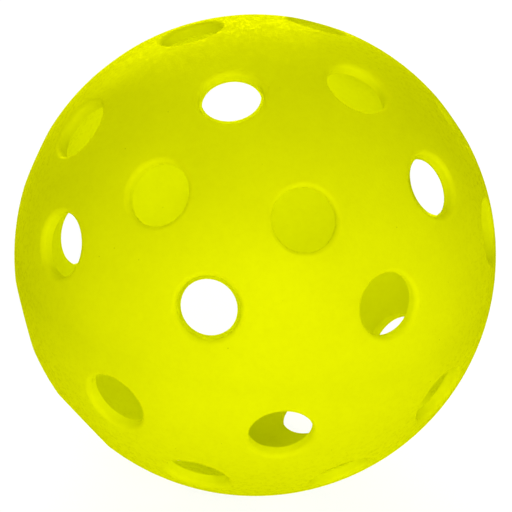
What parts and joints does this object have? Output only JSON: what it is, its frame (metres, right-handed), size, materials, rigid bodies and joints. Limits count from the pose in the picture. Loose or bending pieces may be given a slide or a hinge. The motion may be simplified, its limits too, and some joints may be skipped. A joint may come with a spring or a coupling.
{
  "type": "pickleball",
  "caption": "Hollow perforated game ball of lime-yellow plastic, made of welded half shells with rows of round holes that have rounded lips.",
  "frame": {"origin": "centre of the ball", "axes": "+Z through the middle of the upper half, square to the weld, which lies in the XY plane; +X in the plane of the upper half's seam row start, azimuth 0"},
  "size_m": [0.074, 0.074, 0.074],
  "materials": {
    "shell_plastic": "lime-yellow moulded polyethylene, slightly translucent, fine frosted grain",
    "weld_plastic": "remelted lime-yellow polyethylene, slightly glossier than the shells"
  },
  "bodies": {
    "root": {"upper_half_shell": "shell_plastic", "lower_half_shell": "shell_plastic", "weld_bead": "weld_plastic"}
  },
  "joints": []
}
